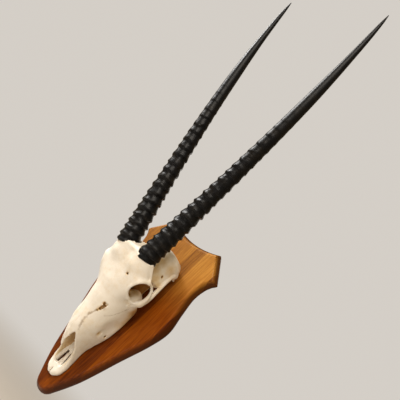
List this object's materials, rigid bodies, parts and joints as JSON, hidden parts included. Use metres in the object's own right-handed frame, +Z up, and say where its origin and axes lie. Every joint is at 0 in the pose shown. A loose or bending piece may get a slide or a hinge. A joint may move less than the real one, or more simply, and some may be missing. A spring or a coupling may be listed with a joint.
{
  "type": "gemsbok skull and horns on a wall shield",
  "caption": "Bleached gemsbok upper skull with long ringed horns, screwed to a varnished wooden wall shield that hangs from a keyhole plate.",
  "frame": {"origin": "on the shield's flat back, on its centre line, 275 mm above its lower tip", "axes": "+X to the viewer's right, the animal's left side; +Y into the wall; +Z up, towards the horn tips"},
  "size_m": [0.2871, 0.354, 1.1532],
  "materials": {
    "shield_wood": "varnished, satin gloss",
    "bone": "bleached bone, matt",
    "horn_keratin": "dark horn, dull sheen on the smooth tips",
    "brassed_steel": "yellow passivated",
    "zinc_steel": "zinc plated"
  },
  "bodies": {
    "root": {"shield_board": "shield_wood", "skull": "bone", "horn_left": "horn_keratin", "horn_right": "horn_keratin", "hanger_plate": "brassed_steel", "hanger_screw_left": "brassed_steel", "hanger_screw_right": "brassed_steel", "skull_screw_front": "zinc_steel", "skull_screw_rear": "zinc_steel"}
  },
  "joints": []
}
